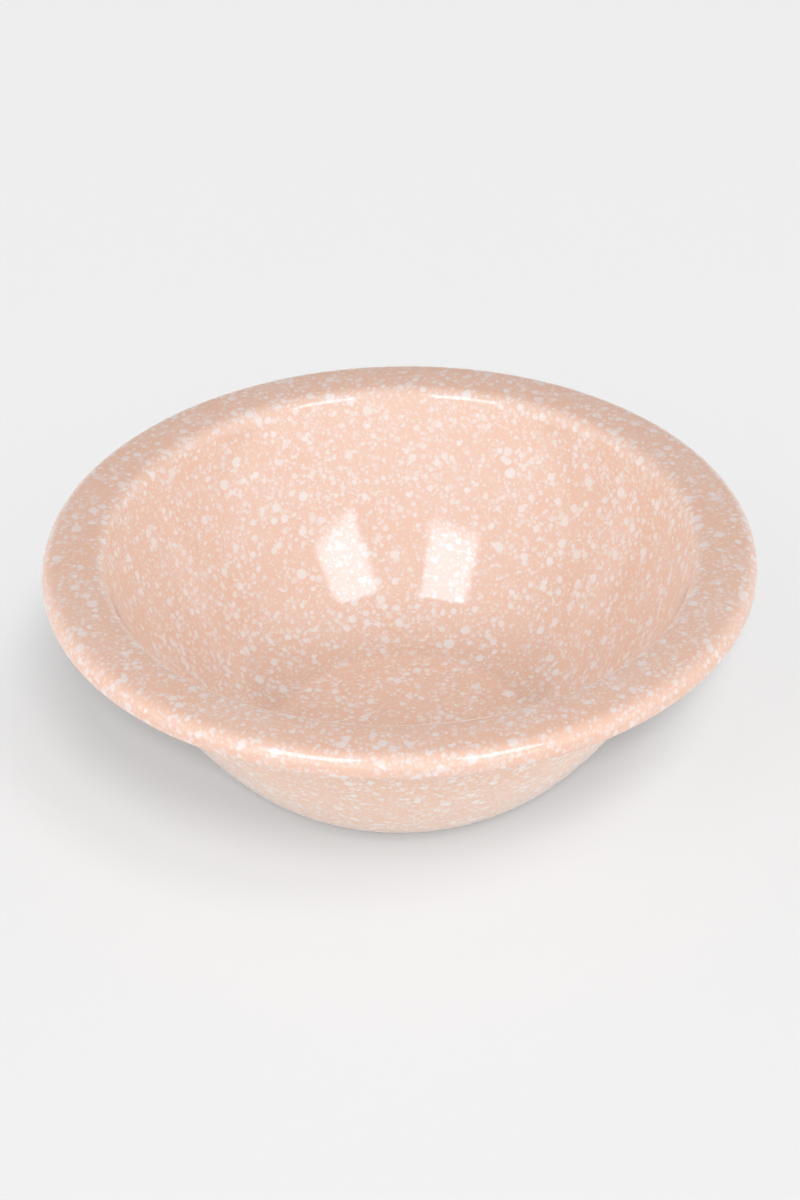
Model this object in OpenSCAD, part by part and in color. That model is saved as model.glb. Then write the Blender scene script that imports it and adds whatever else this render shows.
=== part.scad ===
// Melamine bowl with a wide rolled rim. A moulded body is faced inside and outside with a printed
// decor foil, and each foil is covered by a clear glaze. The axis of the bowl is Z. It stands on Z = 0.

/* [Size] */
// Outside diameter over the rim, mm
rim_diameter = 170; // [155:1:190]
// Height from the table to the crown of the rim, mm
bowl_height = 60; // [50:1:72]
// Thickness of the finished wall, facings included, mm
wall_thickness = 3.4; // [2.4:0.1:4.4]

/* [Rolled rim] */
// Width of the rim, from the well to the outer edge, mm
rim_width = 15.5; // [12:0.5:20]
// Radius of the fillets under the rim, inside its bend and its roll, mm
under_rim_fillet = 0.6; // [0.3:0.1:1.5]
// Radius of the gentle crown across the top of the rim, mm
crown_radius = 45; // [30:1:80]
// Straight length of the turned-down lip, between the roll and its rounded tip, mm
lip_length = 0.6; // [0.4:0.1:4]

/* [Well] */
// Inside radius of the long curve of the wall, mm
wall_curve = 130; // [95:1:170]
// Inside radius of the turn from the wall into the floor, mm
floor_turn = 26; // [19:0.5:33]
// Diameter of the flat floor of the well, mm
floor_diameter = 53; // [40:1:65]
// Thickness of the base over its recess, mm
base_thickness = 3.7; // [2.8:0.1:4.8]

/* [Foot] */
// Outside radius of the heel, where the wall turns in to the foot, mm
heel_radius = 43.5; // [35:0.5:56]
// Height of the foot that shows below the outside glaze, mm
foot_height = 1.2; // [0.8:0.1:1.8]
// Width of the foot ring, mm
foot_width = 4.5; // [3:0.5:7]
// Radius on both lower edges of the foot ring, mm
foot_edge = 0.5; // [0.2:0.1:0.7]
// Depth of the recess under the base, mm
base_recess = 1.5; // [0.8:0.1:2]

/* [Facings] */
// Thickness of a printed decor foil, mm
foil_thickness = 0.2; // [0.15:0.05:0.3]
// Thickness of a clear glaze, mm
glaze_thickness = 0.3; // [0.2:0.05:0.4]

/* [Hidden] */
$fn = 180;
rim_radius = rim_diameter / 2;
skin = foil_thickness + glaze_thickness;
curve_error = 0.01;

// The rim, as a section at the right of the axis: bend, crown, roll and lip all run tangent.
rim_bend = wall_thickness + under_rim_fillet;
bend_from_axis = rim_radius - rim_width + rim_bend;
roll_from_axis = rim_radius - rim_bend;
crown_half_width = (roll_from_axis - bend_from_axis) / 2;
crown_half = asin(crown_half_width / (crown_radius - rim_bend));
crown_centre = [bend_from_axis + crown_half_width, bowl_height - crown_radius];
rim_centre_height = crown_centre.y + (crown_radius - rim_bend) * cos(crown_half);
bend_centre = [bend_from_axis, rim_centre_height];
roll_centre = [roll_from_axis, rim_centre_height];
lip_radius = wall_thickness / 2;
lip_centre = [rim_radius - lip_radius, rim_centre_height - lip_length];

// The well: the long curve of the wall touches the bend on one side and the turn on the other.
floor_height = base_recess + base_thickness;
turn_centre = [floor_diameter / 2, floor_height + floor_turn];
span = bend_centre - turn_centre;
span_length = norm(span);
span_way = span / span_length;
from_bend = wall_curve + rim_bend;
from_turn = wall_curve - floor_turn;
along = (from_turn * from_turn - from_bend * from_bend + span_length * span_length) / (2 * span_length);
aside = sqrt(from_turn * from_turn - along * along);
wall_centre = turn_centre + along * span_way + aside * [-span_way.y, span_way.x];
wall_lean = lean_of(bend_centre - wall_centre);
turn_lean = lean_of(turn_centre - wall_centre);

// The heel: the outside leaves the wall at the same lean and curves in down to the top of the foot.
wall_outside = wall_curve + wall_thickness;
heel_centre = wall_centre + (wall_outside - heel_radius) * way(-turn_lean);
foot_lean = asin((heel_centre.y - foot_height) / heel_radius);
foot_radius = heel_centre.x + heel_radius * cos(foot_lean);

function way(angle) = [cos(angle), sin(angle)];
function lean_of(step) = atan2(-step.y, step.x);
function backwards(points) = [for (i = [len(points) - 1 : -1 : 0]) points[i]];
function without_first(points) = [for (i = [1 : len(points) - 1]) points[i]];

// Number of straight steps that keeps an arc within the curve error.
function steps(radius, turned) = max(3, ceil(abs(turned) / (2 * acos(1 - curve_error / radius))));

// Points along an arc. The first point is left out, because the curve before it ends there.
function arc(centre, radius, start, end, count) =
    [for (i = [1 : count]) centre + radius * way(start + (end - start) * i / count)];

turn_steps = steps(floor_turn, 90 - turn_lean);
wall_steps = steps(wall_curve, turn_lean - wall_lean);
bend_steps = steps(rim_bend, 90 - wall_lean - crown_half);
crown_steps = 2 * steps(crown_radius, crown_half);
roll_steps = steps(rim_bend, 90 - crown_half);
lip_steps = steps(lip_radius, 90);
heel_steps = steps(heel_radius, foot_lean - turn_lean);
foot_steps = steps(foot_edge, 90);

// Lean at which the heel reaches the side of the foot, for a surface sunk by a depth.
function heel_end(depth) = acos((foot_radius - heel_centre.x) / (heel_radius - depth));

// The inside surface sunk by a depth, from the axis across the well and the rim to the tip of the lip.
function inside_curve(depth) = concat(
    [[0, floor_height - depth]],
    [[turn_centre.x, floor_height - depth]],
    arc(turn_centre, floor_turn + depth, -90, -turn_lean, turn_steps),
    arc(wall_centre, wall_curve + depth, -turn_lean, -wall_lean, wall_steps),
    arc(bend_centre, rim_bend - depth, 180 - wall_lean, 90 + crown_half, bend_steps),
    arc(crown_centre, crown_radius - depth, 90 + crown_half, 90 - crown_half, crown_steps),
    arc(roll_centre, rim_bend - depth, 90 - crown_half, 0, roll_steps),
    [[rim_radius - depth, lip_centre.y]],
    arc(lip_centre, lip_radius - depth, 0, -90, lip_steps)
);

// The outside surface sunk by a depth, from the tip of the lip under the rim and down the wall to the foot.
function outside_curve(depth) = concat(
    [[lip_centre.x, lip_centre.y - lip_radius + depth]],
    arc(lip_centre, lip_radius - depth, -90, -180, lip_steps),
    [[rim_radius - wall_thickness + depth, rim_centre_height]],
    arc(roll_centre, rim_bend - wall_thickness + depth, 0, 90 - crown_half, roll_steps),
    arc(crown_centre, crown_radius - wall_thickness + depth, 90 - crown_half, 90 + crown_half, crown_steps),
    arc(bend_centre, rim_bend - wall_thickness + depth, 90 + crown_half, 180 - wall_lean, bend_steps),
    arc(wall_centre, wall_outside - depth, -wall_lean, -turn_lean, wall_steps),
    arc(heel_centre, heel_radius - depth, -turn_lean, -heel_end(depth), heel_steps)
);

// The foot ring, from its outer side down, across its sole and up into the recess under the base.
foot_outer_edge = [foot_radius - foot_edge, foot_edge];
foot_inner_edge = [foot_radius - foot_width + foot_edge, foot_edge];
foot_curve = concat(
    [[foot_radius, foot_edge]],
    arc(foot_outer_edge, foot_edge, 0, -90, foot_steps),
    [[foot_inner_edge.x, 0]],
    arc(foot_inner_edge, foot_edge, -90, -180, foot_steps),
    [[foot_radius - foot_width, base_recess]],
    [[0, base_recess]]
);

// One facing between two depths of a surface, turned round the axis.
module facing(upper, lower) {
    rotate_extrude()
        polygon(concat(upper, backwards(lower)));
}

// Pressed melamine: floor, wall, rolled rim with its turned-down lip, and foot ring.
module moulded_body() {
    color([0.94, 0.77, 0.68])
        rotate_extrude()
            polygon(concat(inside_curve(skin), without_first(outside_curve(skin)), foot_curve));
}

// Printed foil over the well and the top of the rim, down to the tip of the lip.
module inside_decor_foil() {
    color([0.96, 0.80, 0.71])
        facing(inside_curve(glaze_thickness), inside_curve(skin));
}

// Clear glaze over the inside foil.
module inside_glaze() {
    color([0.98, 0.90, 0.86])
        facing(inside_curve(0), inside_curve(glaze_thickness));
}

// Printed foil over the outside of the wall and the underside of the rim.
module outside_decor_foil() {
    color([0.95, 0.79, 0.69])
        facing(outside_curve(glaze_thickness), outside_curve(skin));
}

// Clear glaze over the outside foil.
module outside_glaze() {
    color([0.98, 0.89, 0.84])
        facing(outside_curve(0), outside_curve(glaze_thickness));
}

moulded_body();
inside_decor_foil();
inside_glaze();
outside_decor_foil();
outside_glaze();
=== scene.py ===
import math

import bpy
from mathutils import Matrix, Vector


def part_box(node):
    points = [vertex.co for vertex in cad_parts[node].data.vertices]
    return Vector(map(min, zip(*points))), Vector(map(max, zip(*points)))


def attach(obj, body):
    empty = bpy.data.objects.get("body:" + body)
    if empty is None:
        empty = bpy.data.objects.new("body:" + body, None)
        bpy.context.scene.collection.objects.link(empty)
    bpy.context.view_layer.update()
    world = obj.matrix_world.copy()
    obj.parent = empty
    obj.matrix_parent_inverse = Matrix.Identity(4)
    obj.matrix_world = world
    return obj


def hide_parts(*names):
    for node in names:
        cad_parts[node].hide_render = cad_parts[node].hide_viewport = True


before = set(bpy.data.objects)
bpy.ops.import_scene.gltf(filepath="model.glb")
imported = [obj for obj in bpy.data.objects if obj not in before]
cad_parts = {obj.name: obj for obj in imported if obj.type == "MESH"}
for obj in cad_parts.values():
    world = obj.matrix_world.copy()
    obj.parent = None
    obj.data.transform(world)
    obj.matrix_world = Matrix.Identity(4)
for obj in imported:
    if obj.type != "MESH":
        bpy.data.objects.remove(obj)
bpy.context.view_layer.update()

# A melamine bowl with a wide rolled rim. Its pressed body is faced inside and outside with a printed foil,
# and each foil is covered by a clear glaze.

MM = 0.001

# Sizes of the bowl in millimetres. The rim radius and the height come from the solids themselves.
GLAZE_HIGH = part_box("inside_glaze")[1]
RIM_RADIUS = round(GLAZE_HIGH.x / MM, 1)
BOWL_HEIGHT = round(GLAZE_HIGH.z / MM, 1)
WALL_THICKNESS = 3.4
RIM_WIDTH = 15.5
UNDER_RIM_FILLET = 0.6
CROWN_RADIUS = 45.0
LIP_LENGTH = 0.6
WALL_CURVE = 130.0
FLOOR_TURN = 26.0
FLOOR_DIAMETER = 53.0
BASE_THICKNESS = 3.7
HEEL_RADIUS = 43.5
FOOT_HEIGHT = 1.2
FOOT_WIDTH = 4.5
FOOT_EDGE = 0.5
BASE_RECESS = 1.5
FOIL_THICKNESS = 0.2
GLAZE_THICKNESS = 0.3
SKIN = FOIL_THICKNESS + GLAZE_THICKNESS

# How finely a section is drawn, in millimetres and degrees.
LONGEST_STEP = 1.1
WIDEST_TURN = 4.0
FEWEST_STEPS = 3

# How a section is turned round the axis. The joining distance is in metres, the crease angle in radians.
STEPS_ROUND = 240
JOINING_DISTANCE = 0.000002
CREASE_ANGLE = math.radians(40)


# Sections

def way(angle):
    """A step of length 1 at an angle in degrees."""
    return Vector((math.cos(math.radians(angle)), math.sin(math.radians(angle))))


def lean_of(step):
    """How far a step points below level, in degrees."""
    return math.degrees(math.atan2(-step.y, step.x))


def arc(centre, radius, start, end):
    """Points along an arc without its first point, because the curve before it ends there."""
    turned = abs(end - start)
    length = math.radians(turned) * radius
    count = max(FEWEST_STEPS, math.ceil(length / LONGEST_STEP), math.ceil(turned / WIDEST_TURN))
    return [centre + radius * way(start + (end - start) * i / count) for i in range(1, count + 1)]


def line(start, end):
    """Points along a straight run without its first point."""
    count = max(1, math.ceil((end - start).length / LONGEST_STEP))
    return [start.lerp(end, i / count) for i in range(1, count + 1)]


# The rim, as a section at the right of the axis: bend, crown, roll and lip all run tangent.
RIM_BEND = WALL_THICKNESS + UNDER_RIM_FILLET
BEND_FROM_AXIS = RIM_RADIUS - RIM_WIDTH + RIM_BEND
ROLL_FROM_AXIS = RIM_RADIUS - RIM_BEND
CROWN_HALF_WIDTH = (ROLL_FROM_AXIS - BEND_FROM_AXIS) / 2
CROWN_HALF = math.degrees(math.asin(CROWN_HALF_WIDTH / (CROWN_RADIUS - RIM_BEND)))
CROWN_CENTRE = Vector((BEND_FROM_AXIS + CROWN_HALF_WIDTH, BOWL_HEIGHT - CROWN_RADIUS))
RIM_CENTRE_HEIGHT = CROWN_CENTRE.y + (CROWN_RADIUS - RIM_BEND) * math.cos(math.radians(CROWN_HALF))
BEND_CENTRE = Vector((BEND_FROM_AXIS, RIM_CENTRE_HEIGHT))
ROLL_CENTRE = Vector((ROLL_FROM_AXIS, RIM_CENTRE_HEIGHT))
LIP_RADIUS = WALL_THICKNESS / 2
LIP_CENTRE = Vector((RIM_RADIUS - LIP_RADIUS, RIM_CENTRE_HEIGHT - LIP_LENGTH))

# The well
FLOOR_HEIGHT = BASE_RECESS + BASE_THICKNESS
TURN_CENTRE = Vector((FLOOR_DIAMETER / 2, FLOOR_HEIGHT + FLOOR_TURN))


def wall_centre():
    """Centre of the wall's long curve, which touches the bend on one side and the turn on the other."""
    span = BEND_CENTRE - TURN_CENTRE
    from_bend = WALL_CURVE + RIM_BEND
    from_turn = WALL_CURVE - FLOOR_TURN
    along = (from_turn ** 2 - from_bend ** 2 + span.length ** 2) / (2 * span.length)
    aside = math.sqrt(from_turn ** 2 - along ** 2)
    forward = span.normalized()
    return TURN_CENTRE + along * forward + aside * Vector((-forward.y, forward.x))


WALL_CENTRE = wall_centre()
WALL_LEAN = lean_of(BEND_CENTRE - WALL_CENTRE)
TURN_LEAN = lean_of(TURN_CENTRE - WALL_CENTRE)

# The heel: the outside leaves the wall at the same lean and curves in down to the top of the foot.
WALL_OUTSIDE = WALL_CURVE + WALL_THICKNESS
HEEL_CENTRE = WALL_CENTRE + (WALL_OUTSIDE - HEEL_RADIUS) * way(-TURN_LEAN)
FOOT_LEAN = math.degrees(math.asin((HEEL_CENTRE.y - FOOT_HEIGHT) / HEEL_RADIUS))
FOOT_RADIUS = HEEL_CENTRE.x + HEEL_RADIUS * math.cos(math.radians(FOOT_LEAN))


def inside_curve(depth):
    """The inside surface sunk by a depth, from the axis across the well and the rim to the lip's tip."""
    start = Vector((0, FLOOR_HEIGHT - depth))
    return [
        start,
        *line(start, Vector((TURN_CENTRE.x, FLOOR_HEIGHT - depth))),
        *arc(TURN_CENTRE, FLOOR_TURN + depth, -90, -TURN_LEAN),
        *arc(WALL_CENTRE, WALL_CURVE + depth, -TURN_LEAN, -WALL_LEAN),
        *arc(BEND_CENTRE, RIM_BEND - depth, 180 - WALL_LEAN, 90 + CROWN_HALF),
        *arc(CROWN_CENTRE, CROWN_RADIUS - depth, 90 + CROWN_HALF, 90 - CROWN_HALF),
        *arc(ROLL_CENTRE, RIM_BEND - depth, 90 - CROWN_HALF, 0),
        Vector((RIM_RADIUS - depth, LIP_CENTRE.y)),
        *arc(LIP_CENTRE, LIP_RADIUS - depth, 0, -90),
    ]


def outside_curve(depth):
    """The outside surface sunk by a depth, from the tip of the lip under the rim and down to the foot."""
    heel_end = math.degrees(math.acos((FOOT_RADIUS - HEEL_CENTRE.x) / (HEEL_RADIUS - depth)))
    under = WALL_THICKNESS - depth
    return [
        Vector((LIP_CENTRE.x, LIP_CENTRE.y - LIP_RADIUS + depth)),
        *arc(LIP_CENTRE, LIP_RADIUS - depth, -90, -180),
        Vector((RIM_RADIUS - under, RIM_CENTRE_HEIGHT)),
        *arc(ROLL_CENTRE, RIM_BEND - under, 0, 90 - CROWN_HALF),
        *arc(CROWN_CENTRE, CROWN_RADIUS - under, 90 - CROWN_HALF, 90 + CROWN_HALF),
        *arc(BEND_CENTRE, RIM_BEND - under, 90 + CROWN_HALF, 180 - WALL_LEAN),
        *arc(WALL_CENTRE, WALL_OUTSIDE - depth, -WALL_LEAN, -TURN_LEAN),
        *arc(HEEL_CENTRE, HEEL_RADIUS - depth, -TURN_LEAN, -heel_end),
    ]


def foot_curve(start):
    """The foot ring from its outer side down, across its sole and up into the recess under the base."""
    outer = Vector((FOOT_RADIUS - FOOT_EDGE, FOOT_EDGE))
    inner = Vector((FOOT_RADIUS - FOOT_WIDTH + FOOT_EDGE, FOOT_EDGE))
    recess = Vector((FOOT_RADIUS - FOOT_WIDTH, BASE_RECESS))
    return [
        *line(start, Vector((FOOT_RADIUS, FOOT_EDGE))),
        *arc(outer, FOOT_EDGE, 0, -90),
        *line(Vector((outer.x, 0)), Vector((inner.x, 0))),
        *arc(inner, FOOT_EDGE, -90, -180),
        recess,
        *line(recess, Vector((0, BASE_RECESS))),
    ]


def facing_section(curve, upper_depth, lower_depth):
    """A facing between two depths of a surface. It ends where it starts, unless that is on the axis."""
    points = curve(upper_depth) + curve(lower_depth)[::-1]
    return points if points[0].x == 0 else points + points[:1]


def body_section():
    """The pressed body between the two facings, with its foot ring."""
    outside = outside_curve(SKIN)
    return inside_curve(SKIN) + outside[1:] + foot_curve(outside[-1])


# Node trees

class Nodes:
    """A node tree, with short ways to add nodes and to feed their sockets."""

    def __init__(self, tree):
        self.tree = tree

    def feed(self, socket, given):
        """Joins a socket to the output of another node, or sets it to a value."""
        if isinstance(given, bpy.types.NodeSocket):
            self.tree.links.new(given, socket)
        else:
            socket.default_value = given

    def node(self, kind, feeds=None, **settings):
        """A new node. Its settings are made first, because they decide which sockets it has."""
        made = self.tree.nodes.new(kind)
        for key, value in settings.items():
            setattr(made, key, value)
        for socket, given in (feeds or {}).items():
            self.feed(made.inputs[socket], given)
        return made

    def maths(self, operation, *values):
        """The result of one step of arithmetic."""
        return self.node("ShaderNodeMath", dict(enumerate(values)), operation=operation).outputs[0]

    def vector_maths(self, operation, *values):
        """Both results of one step of arithmetic with vectors: a Vector and a Value."""
        return self.node("ShaderNodeVectorMath", dict(enumerate(values)), operation=operation).outputs


# Turning a section round the axis

def turned_shell_tree():
    """Turns a section, drawn as a chain of points in the XZ plane, into a closed shell round the Z axis.
    The tree comes with the identifiers of its inputs."""
    tree = bpy.data.node_groups.new("turned_shell", "GeometryNodeTree")
    sockets = {}
    for name, kind in (
        ("Section", "NodeSocketGeometry"),
        ("Steps round", "NodeSocketInt"),
        ("Joining distance", "NodeSocketFloat"),
        ("Crease angle", "NodeSocketFloat"),
        ("Finish", "NodeSocketMaterial"),
    ):
        sockets[name] = tree.interface.new_socket(name, in_out="INPUT", socket_type=kind).identifier
    tree.interface.new_socket("Shell", in_out="OUTPUT", socket_type="NodeSocketGeometry")
    nodes = Nodes(tree)
    given = nodes.node("NodeGroupInput").outputs

    def whole_maths(operation, first, second):
        made = nodes.node("FunctionNodeIntegerMath", {0: first, 1: second}, operation=operation)
        return made.outputs[0]

    # A grid with a column of section points for each step round, and one more column that meets the first.
    section_size = nodes.node(
        "GeometryNodeAttributeDomainSize", {"Geometry": given["Section"]}, component="MESH"
    )
    points = section_size.outputs["Point Count"]
    columns = whole_maths("ADD", given["Steps round"], 1)
    grid = nodes.node("GeometryNodeMeshGrid", {"Vertices X": columns, "Vertices Y": points})

    # Each point of the grid goes to its point of the section, turned by its share of the way round.
    index = nodes.node("GeometryNodeInputIndex").outputs[0]
    along = whole_maths("MODULO", index, points)
    around = whole_maths("DIVIDE_FLOOR", index, points)
    position = nodes.node("GeometryNodeInputPosition").outputs[0]
    place = nodes.node(
        "GeometryNodeSampleIndex",
        {"Geometry": given["Section"], "Value": position, "Index": along},
        data_type="FLOAT_VECTOR",
        domain="POINT",
    )
    share = nodes.maths("DIVIDE", around, given["Steps round"])
    angle = nodes.maths("MULTIPLY", share, 2 * math.pi)
    turned = nodes.node(
        "ShaderNodeVectorRotate", {"Vector": place.outputs[0], "Angle": angle}, rotation_type="Z_AXIS"
    )
    shaped = nodes.node(
        "GeometryNodeSetPosition", {"Geometry": grid.outputs["Mesh"], "Position": turned.outputs[0]}
    )

    # The seam and the poles are closed, and the faces point outwards.
    closed = nodes.node(
        "GeometryNodeMergeByDistance",
        {"Geometry": shaped.outputs[0], "Distance": given["Joining distance"]},
    )
    outward = nodes.node("GeometryNodeFlipFaces", {"Mesh": closed.outputs[0]})

    # The shell is smooth, apart from its sharp edges.
    smooth = nodes.node("GeometryNodeSetShadeSmooth", {"Geometry": outward.outputs[0]}, domain="FACE")
    edge_angle = nodes.node("GeometryNodeInputMeshEdgeAngle").outputs["Unsigned Angle"]
    crease = nodes.node(
        "FunctionNodeCompare",
        {"A": edge_angle, "B": given["Crease angle"]},
        data_type="FLOAT",
        operation="GREATER_THAN",
    )
    creased = nodes.node(
        "GeometryNodeSetShadeSmooth",
        {"Geometry": smooth.outputs[0], "Selection": crease.outputs[0], "Shade Smooth": False},
        domain="EDGE",
    )

    realized = nodes.node("GeometryNodeRealizeInstances", {"Geometry": creased.outputs[0]})
    finished = nodes.node(
        "GeometryNodeSetMaterial", {"Geometry": realized.outputs[0], "Material": given["Finish"]}
    )
    nodes.node("NodeGroupOutput", {"Shell": finished.outputs[0]})
    return tree, sockets


def turned_piece(name, section, finish, tree, sockets):
    """A piece of the bowl: a section turned round the axis and made a plain mesh."""
    mesh = bpy.data.meshes.new(name + "_section")
    points = [(p.x * MM, 0, p.y * MM) for p in section]
    mesh.from_pydata(points, [(i, i + 1) for i in range(len(points) - 1)], [])
    piece = bpy.data.objects.new(name, mesh)
    bpy.context.scene.collection.objects.link(piece)
    turning = piece.modifiers.new("turned", "NODES")
    turning.node_group = tree
    turning[sockets["Steps round"]] = STEPS_ROUND
    turning[sockets["Joining distance"]] = JOINING_DISTANCE
    turning[sockets["Crease angle"]] = CREASE_ANGLE
    turning[sockets["Finish"]] = finish
    seen = piece.evaluated_get(bpy.context.evaluated_depsgraph_get())
    shell = bpy.data.meshes.new_from_object(seen)
    piece.modifiers.remove(turning)
    piece.data = shell
    bpy.data.meshes.remove(mesh)
    shell.name = name
    return piece


# Finishes

def srgb(red, green, blue):
    """A colour given as it looks on a screen, from 0 to 255, in the light's own scale."""
    def linear(value):
        value /= 255
        return value / 12.92 if value <= 0.04045 else ((value + 0.055) / 1.055) ** 2.4
    return (linear(red), linear(green), linear(blue), 1.0)


# The colours of each print, below the rim and on the rim. Outside both are the same. Inside, the well's
# colours are painted paler than the rim's: painted light that stands for bright light washing out the well.
OUTSIDE_PEACH = srgb(243, 200, 174)
OUTSIDE_WHITE = srgb(246, 236, 230)
OUTSIDE_COLOURS = {
    "ground": OUTSIDE_PEACH,
    "flecks": OUTSIDE_WHITE,
    "rim_ground": OUTSIDE_PEACH,
    "rim_flecks": OUTSIDE_WHITE,
}
# Inside, the well's ground and flecks are painted paler than the rim's: painted light for the brightly lit
# well.
INSIDE_COLOURS_WITH_PAINTED_LIGHT = {
    "ground": srgb(238, 201, 180),
    "flecks": srgb(242, 233, 230),
    "rim_ground": srgb(237, 195, 173),
    "rim_flecks": srgb(239, 224, 220),
}

# Distances from the axis between which the colours of the well, painted paler inside as painted light, turn
# into those of the rim, in millimetres.
RIM_STARTS = BEND_FROM_AXIS - RIM_BEND
RIM_LEVEL = BEND_FROM_AXIS

# Each size of drop: the spacing of the cells, the least and most radius, the width of the soft edge, the
# share of bare cells, the least and most white, and how far the cells are moved, which is more along Y
# and Z than along X. Lengths in millimetres.
SPLATTER = (
    dict(spacing=4.0, radius=(0.60, 1.40), edge=0.50, bare=0.15, white=(0.80, 1.00), moved=11.0),
    dict(spacing=2.1, radius=(0.40, 0.95), edge=0.46, bare=0.15, white=(0.50, 1.00), moved=47.0),
    dict(spacing=1.3, radius=(0.28, 0.58), edge=0.38, bare=0.12, white=(0.35, 0.90), moved=83.0),
    dict(spacing=0.8, radius=(0.20, 0.38), edge=0.28, bare=0.15, white=(0.15, 0.60), moved=131.0),
)
MOVED_ALONG = (1.0, 1.7, 2.3)

# The range in which most noise lies.
NOISE_EDGES = (0.3, 0.7)

# Drops that are stirred out of round, clumps of more and fewer drops, and a ground that drifts in tone.
# Sizes and reach in millimetres.
STIR_SIZE = 1.4
STIR_REACH = 0.5
CLUMP_SIZE = 6.5
CLUMP_EDGES = (0.35, 0.65)
CLUMP_BARE = (-0.22, 0.34)
DRIFT_SIZE = 14.0
DRIFT_WHITE = (0.0, 0.1)

# The glaze, the bare foil and the pressed body. Sizes and rises of their unevenness are in millimetres.
GLAZE_IOR = 1.65
GLAZE_WAVE_SIZE = 9.0
GLAZE_ROUGHNESS = (0.06, 0.09)
GLAZE_RIPPLE_SIZE = 2.6
GLAZE_RIPPLE_RISE = 0.006
FIBRE_SIZE = 0.6
FIBRE_RISE = 0.01
FOIL_ROUGHNESS = (0.45, 0.6)
BODY_PEACH = srgb(234, 193, 171)
BODY_SHADE = 0.93
BODY_TONE_SIZE = 6.0
BODY_GRAIN_SIZE = 0.5
BODY_GRAIN_RISE = 0.012
BODY_ROUGHNESS = (0.34, 0.48)


class Finish(Nodes):
    """A material with its shader, and the patterns that the finishes are made of."""

    def __init__(self, name):
        self.material = bpy.data.materials.new(name)
        self.material.use_nodes = True
        super().__init__(self.material.node_tree)
        self.shader = next(n for n in self.tree.nodes if n.type == "BSDF_PRINCIPLED")

    def dress(self, socket, given):
        """Feeds a socket of the shader."""
        self.feed(self.shader.inputs[socket], given)

    def place(self):
        """Where a point lies on the piece, in metres."""
        return self.node("ShaderNodeTexCoord").outputs["Object"]

    def ramp(self, value, low, high, to_low=0.0, to_high=1.0, smooth=True):
        """A value moved from the range between low and high into another range."""
        made = self.node(
            "ShaderNodeMapRange",
            {"Value": value, "From Min": low, "From Max": high, "To Min": to_low, "To Max": to_high},
            interpolation_type="SMOOTHSTEP" if smooth else "LINEAR",
        )
        return made.outputs["Result"]

    def mix(self, share, first, second):
        """A colour between two others."""
        made = self.node("ShaderNodeMix", data_type="RGBA")
        sockets = [s for s in made.inputs if s.enabled]
        for socket, given in zip(sockets, (share, first, second)):
            self.feed(socket, given)
        return next(s for s in made.outputs if s.enabled)

    def noise(self, place, size, detail):
        """Smooth noise whose lumps are about a size in millimetres."""
        feeds = {"Vector": place, "Scale": 1 / (size * MM), "Detail": detail}
        return self.node("ShaderNodeTexNoise", feeds, noise_dimensions="3D").outputs

    def from_axis(self, place):
        """Distance from the axis of the bowl."""
        level = self.vector_maths("MULTIPLY", place, (1, 1, 0))["Vector"]
        return self.vector_maths("LENGTH", level)["Value"]

    def stirred(self, place, size, reach):
        """The place pushed about by noise, which makes round flecks a little uneven. The size of the noise
        and the reach of the push are in millimetres."""
        push = self.vector_maths(
            "MULTIPLY_ADD",
            self.noise(place, size, detail=1.0)["Color"],
            (2 * reach * MM,) * 3,
            (-reach * MM,) * 3,
        )
        return self.vector_maths("ADD", place, push["Vector"])["Vector"]

    def bump(self, height, rise):
        """The surface raised by a height from 0 to 1. The rise is in millimetres."""
        made = self.node("ShaderNodeBump", {"Distance": rise * MM, "Height": height})
        self.dress("Normal", made.outputs["Normal"])

    def flecks(self, place, thin, spacing, radius, edge, bare, white, moved):
        """One size of splatter: round drops of random radius and whiteness, one to a cell. More cells are
        bare where the splatter is thin."""
        move = tuple(along * moved * MM for along in MOVED_ALONG)
        cells = self.node(
            "ShaderNodeTexVoronoi",
            {"Vector": self.vector_maths("ADD", place, move)["Vector"], "Scale": 1 / (spacing * MM)},
            voronoi_dimensions="3D",
            feature="F1",
        ).outputs
        draw = self.node("ShaderNodeSeparateColor", {"Color": cells["Color"]}).outputs
        there = self.maths("GREATER_THAN", draw["Red"], self.maths("ADD", thin, bare))
        smallest, largest = radius
        reach = self.ramp(draw["Green"], 0.0, 1.0, smallest / spacing, largest / spacing, smooth=False)
        whiteness = self.ramp(draw["Blue"], 0.0, 1.0, *white, smooth=False)
        outer = self.maths("ADD", reach, edge / spacing / 2)
        inner = self.maths("SUBTRACT", reach, edge / spacing / 2)
        drop = self.ramp(cells["Distance"], outer, inner)
        return self.maths("MULTIPLY", drop, self.maths("MULTIPLY", there, whiteness))


def splattered(finish, ground, flecks, rim_ground, rim_flecks):
    """The colour of the print: peach with white drops of four sizes over it. Below the rim it takes the
    colours given for the well, which inside are painted paler: a painted wash of bright light.
    """
    place = finish.place()
    # Below the rim the inside print takes its well colours, which are painted paler as painted light.
    on_rim = finish.ramp(finish.from_axis(place), RIM_STARTS * MM, RIM_LEVEL * MM)
    peach = finish.mix(on_rim, ground, rim_ground)
    white = finish.mix(on_rim, flecks, rim_flecks)
    stirred = finish.stirred(place, STIR_SIZE, STIR_REACH)
    clumps = finish.noise(place, CLUMP_SIZE, detail=1.0)["Fac"]
    thin = finish.ramp(clumps, *CLUMP_EDGES, *CLUMP_BARE)
    cover = None
    for drop in SPLATTER:
        drops = finish.flecks(stirred, thin, **drop)
        cover = drops if cover is None else finish.maths("MAXIMUM", cover, drops)
    drift = finish.noise(place, DRIFT_SIZE, detail=3.0)["Fac"]
    uneven = finish.mix(finish.ramp(drift, *NOISE_EDGES, *DRIFT_WHITE), peach, white)
    return finish.mix(cover, uneven, white)


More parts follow.
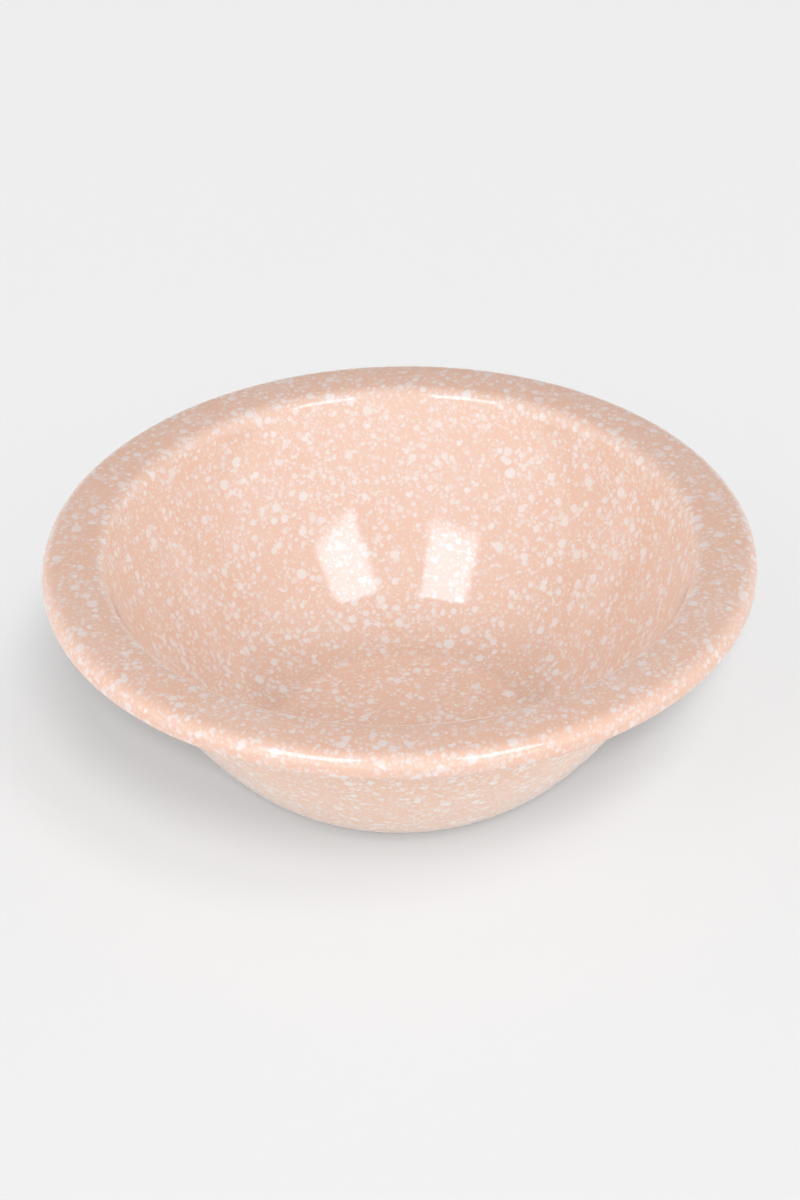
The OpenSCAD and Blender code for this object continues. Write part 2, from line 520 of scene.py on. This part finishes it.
def glazed_flecks(name, colours):
    """The print as it shows through the clear glaze."""
    finish = Finish(name)
    finish.dress("Base Color", splattered(finish, **colours))
    finish.dress("IOR", GLAZE_IOR)
    wave = finish.noise(finish.place(), GLAZE_WAVE_SIZE, detail=1.0)["Fac"]
    finish.dress("Roughness", finish.ramp(wave, *NOISE_EDGES, *GLAZE_ROUGHNESS))
    ripple = finish.noise(finish.place(), GLAZE_RIPPLE_SIZE, detail=1.0)["Fac"]
    finish.bump(ripple, GLAZE_RIPPLE_RISE)
    return finish.material


def printed_foil(name, colours):
    """The bare print of a foil, under its glaze."""
    finish = Finish(name)
    finish.dress("Base Color", splattered(finish, **colours))
    fibre = finish.noise(finish.place(), FIBRE_SIZE, detail=3.0)["Fac"]
    finish.dress("Roughness", finish.ramp(fibre, *NOISE_EDGES, *FOIL_ROUGHNESS))
    finish.bump(fibre, FIBRE_RISE)
    return finish.material


def pressed_melamine(name):
    """Plain satin melamine, a little uneven in tone."""
    finish = Finish(name)
    place = finish.place()
    tone = finish.noise(place, BODY_TONE_SIZE, detail=4.0)["Fac"]
    deeper = tuple(BODY_SHADE * c for c in BODY_PEACH[:3]) + (1.0,)
    finish.dress("Base Color", finish.mix(finish.ramp(tone, *NOISE_EDGES), deeper, BODY_PEACH))
    grain = finish.noise(place, BODY_GRAIN_SIZE, detail=3.0)["Fac"]
    finish.dress("Roughness", finish.ramp(grain, *NOISE_EDGES, *BODY_ROUGHNESS))
    finish.bump(grain, BODY_GRAIN_RISE)
    return finish.material


# The bowl

tree, sockets = turned_shell_tree()
pieces = (
    ("pressed_body", body_section(), pressed_melamine("pressed_melamine"),
     "moulded_body", "pressed_melamine"),
    ("inside_print", facing_section(inside_curve, GLAZE_THICKNESS, SKIN),
     printed_foil("inside_foil_print", INSIDE_COLOURS_WITH_PAINTED_LIGHT), "inside_decor_foil", "inside_print"),
    ("inside_clear_glaze", facing_section(inside_curve, 0, GLAZE_THICKNESS),
     glazed_flecks("inside_glazed_flecks", INSIDE_COLOURS_WITH_PAINTED_LIGHT), "inside_glaze", "inside_glaze"),
    ("outside_print", facing_section(outside_curve, GLAZE_THICKNESS, SKIN),
     printed_foil("outside_foil_print", OUTSIDE_COLOURS), "outside_decor_foil", "outside_print"),
    ("outside_clear_glaze", facing_section(outside_curve, 0, GLAZE_THICKNESS),
     glazed_flecks("outside_glazed_flecks", OUTSIDE_COLOURS), "outside_glaze", "outside_glaze"),
)
for name, section, finish, node_name, slot_name in pieces:
    piece = turned_piece(name, section, finish, tree, sockets)
    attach(piece, "root")
    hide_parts(node_name)


# Floor, light and camera. Lengths in metres, angles in degrees.

FLOOR_GREY = srgb(120, 120, 120)
FLOOR_ROUGHNESS = 0.9
FLOOR_REACH = 6.0

# The air: how high the overhead and front glows lie, and how fast each glow falls off.
OVERHEAD_ELEVATION = 60
FRONT_ELEVATION = 20
SIDES_FALL = 2.0
OVERHEAD_FALL = 3.0
HORIZON_FALL = 3.0

# The lamps. A softbox's reflection is a pile of sheets, each with a step's share of its size, so that it
# fades outwards.
LAMP_AIM = Vector((0, 0, 0.03))
SUN_DISTANCE = 2.0
SOFTBOX_DISTANCE = 1.17
GLEAM = 4.8
GLEAM_STEPS = (1.06, 0.97, 0.86)
GLEAM_COLOUR = (0.55, 0.82, 1.0)
SHEET_GAP = 0.005

# The camera. Its lens and sensor are in millimetres, the picture and the place of the aim in it in pixels.
CAMERA_AIM = Vector((0, 0, 0.05583))
CAMERA_ELEVATION = 33.92
CAMERA_DISTANCE = 0.85
CAMERA_ROLL = 1.14
CAMERA_LENS = 107.01
CAMERA_SENSOR = 36.0
PICTURE_WIDTH, PICTURE_HEIGHT = 800, 1200
AIM_PIXEL = (399.19, 557.65)


def studio_floor():
    """A wide matt floor under the bowl."""
    finish = Finish("pale_floor")
    finish.dress("Base Color", FLOOR_GREY)
    finish.dress("Roughness", FLOOR_ROUGHNESS)
    finish.dress("Specular IOR Level", 0.0)
    mesh = bpy.data.meshes.new("studio_floor")
    corners = [(x * FLOOR_REACH, y * FLOOR_REACH, 0) for x, y in ((-1, -1), (1, -1), (1, 1), (-1, 1))]
    mesh.from_pydata(corners, [], [(0, 1, 2, 3)])
    mesh.materials.append(finish.material)
    floor = bpy.data.objects.new("studio_floor", mesh)
    bpy.context.scene.collection.objects.link(floor)
    return floor


def from_bowl(azimuth, elevation):
    """The way from the bowl to a lamp. The azimuth is from the camera's side towards +X."""
    level = math.cos(math.radians(elevation))
    return Vector((
        level * math.sin(math.radians(azimuth)),
        -level * math.cos(math.radians(azimuth)),
        math.sin(math.radians(elevation)),
    ))


def studio_air(light, backdrop):
    """The levels of the glows that light the scene, and of those that make the backdrop. Straight looks and
    reflections meet the backdrop."""
    world = bpy.data.worlds.new("studio_air")
    bpy.context.scene.world = world
    world.use_nodes = True
    nodes = Nodes(world.node_tree)
    towards = nodes.node("ShaderNodeTexCoord").outputs["Generated"]

    def facing(aim):
        return nodes.vector_maths("DOT_PRODUCT", towards, aim)["Value"]

    def ahead(aim):
        return nodes.maths("MAXIMUM", facing(aim), 0.0)

    glows = {
        "all_round": 1.0,
        "sides": nodes.maths("POWER", nodes.maths("ABSOLUTE", facing((1, 0, 0))), SIDES_FALL),
        "overhead": nodes.maths("POWER", ahead(from_bowl(0, OVERHEAD_ELEVATION)), OVERHEAD_FALL),
        "front": ahead(from_bowl(0, FRONT_ELEVATION)),
        "horizon": nodes.maths("POWER", nodes.maths("SUBTRACT", 1.0, ahead((0, 0, 1))), HORIZON_FALL),
    }

    def sky(levels):
        strength = 0.0
        for name, level in levels.items():
            strength = nodes.maths("MULTIPLY_ADD", glows[name], level, strength)
        made = nodes.node("ShaderNodeBackground", {"Color": (1, 1, 1, 1), "Strength": strength})
        return made.outputs[0]

    path = nodes.node("ShaderNodeLightPath").outputs
    straight = nodes.maths("MAXIMUM", path["Is Camera Ray"], path["Is Glossy Ray"])
    meets_backdrop = nodes.maths("MAXIMUM", straight, path["Is Transmission Ray"])
    pick = nodes.node("ShaderNodeMixShader", {0: meets_backdrop, 1: sky(light), 2: sky(backdrop)})
    out = next(n for n in nodes.tree.nodes if n.type == "OUTPUT_WORLD")
    nodes.feed(out.inputs["Surface"], pick.outputs[0])


def lamp_at(name, kind, azimuth, elevation, distance, turn=0):
    """A lamp that faces the bowl. Its turn is about the way to the bowl."""
    lamp = bpy.data.lights.new(name, kind)
    holder = bpy.data.objects.new(name, lamp)
    bpy.context.scene.collection.objects.link(holder)
    towards = from_bowl(azimuth, elevation)
    facing = (-towards).to_track_quat("-Z", "Y").to_matrix().to_4x4()
    place = Matrix.Translation(LAMP_AIM + distance * towards)
    holder.matrix_world = place @ facing @ Matrix.Rotation(math.radians(turn), 4, "Z")
    return holder


def softbox(name, azimuth, elevation, turn, width, height, radiance):
    """A lamp whose width and height are shares of its distance. Radiance is how bright it looks to a matt
    surface, where 1 is white. Its reflection is made by sheets of its own, one in front of the other."""
    def sheet(number, part, share, level):
        nearer = SOFTBOX_DISTANCE - number * SHEET_GAP
        holder = lamp_at(f"{name}_{part}", "AREA", azimuth, elevation, nearer, turn)
        holder.data.shape = "RECTANGLE"
        holder.data.size = share * width * nearer
        holder.data.size_y = share * height * nearer
        holder.data.energy = level * math.pi * holder.data.size * holder.data.size_y
        return holder

    sheet(0, "light", 1.0, radiance).visible_glossy = False
    for number, share in enumerate(GLEAM_STEPS, start=1):
        shine = sheet(number, f"gleam_{number}", share, GLEAM / len(GLEAM_STEPS))
        shine.data.color = GLEAM_COLOUR
        shine.visible_diffuse = False


def floor_light(name, floor_alone, azimuth, elevation, spread, level):
    """Soft light for the floor alone, so that it stays pale. A level of 1 shows the floor's own colour."""
    holder = lamp_at(name, "SUN", azimuth, elevation, SUN_DISTANCE)
    holder.data.angle = math.radians(spread)
    holder.data.energy = level * math.pi / math.sin(math.radians(elevation))
    holder.light_linking.receiver_collection = floor_alone


def photo_camera():
    """The photograph's viewing angle. The aim lands on its pixel because the camera turns a little."""
    view = bpy.data.cameras.new("photo_camera")
    view.sensor_fit = "VERTICAL"
    view.sensor_height = CAMERA_SENSOR
    view.lens = CAMERA_LENS
    holder = bpy.data.objects.new("photo_camera", view)
    bpy.context.scene.collection.objects.link(holder)
    elevation = math.radians(CAMERA_ELEVATION)
    place = CAMERA_AIM + CAMERA_DISTANCE * Vector((0, -math.cos(elevation), math.sin(elevation)))
    forward = (CAMERA_AIM - place).normalized()
    focal = CAMERA_LENS / CAMERA_SENSOR * PICTURE_HEIGHT
    level = forward.to_track_quat("-Z", "Y").to_matrix().to_4x4()
    rolled = level @ Matrix.Rotation(math.radians(-CAMERA_ROLL), 4, "Z")
    right = math.atan((PICTURE_WIDTH / 2 - AIM_PIXEL[0]) / focal)
    down = math.atan((PICTURE_HEIGHT / 2 - AIM_PIXEL[1]) / focal)
    turned = rolled @ Matrix.Rotation(-right, 4, "Y") @ Matrix.Rotation(-down, 4, "X")
    holder.matrix_world = Matrix.Translation(place) @ turned
    bpy.context.scene.camera = holder


floor_alone = bpy.data.collections.new("floor_alone")
floor_alone.objects.link(studio_floor())
floor_light("floor_front", floor_alone, azimuth=0, elevation=36, spread=12, level=2.40)
floor_light("floor_high", floor_alone, azimuth=9, elevation=50, spread=14, level=0.95)
floor_light("floor_side", floor_alone, azimuth=36, elevation=60, spread=16, level=0.40)
studio_air(
    light={"all_round": 0.12, "sides": 1.36, "overhead": 0.54, "horizon": 0.20},
    backdrop={"front": 1.70, "sides": 0.55, "horizon": 0.70},
)
softbox("softbox_right", azimuth=31, elevation=39, turn=12, width=0.365, height=0.355, radiance=4.5)
softbox("softbox_left", azimuth=-30, elevation=42, turn=4, width=0.395, height=0.405, radiance=4.3)
photo_camera()
bpy.context.scene.view_settings.view_transform = "Standard"
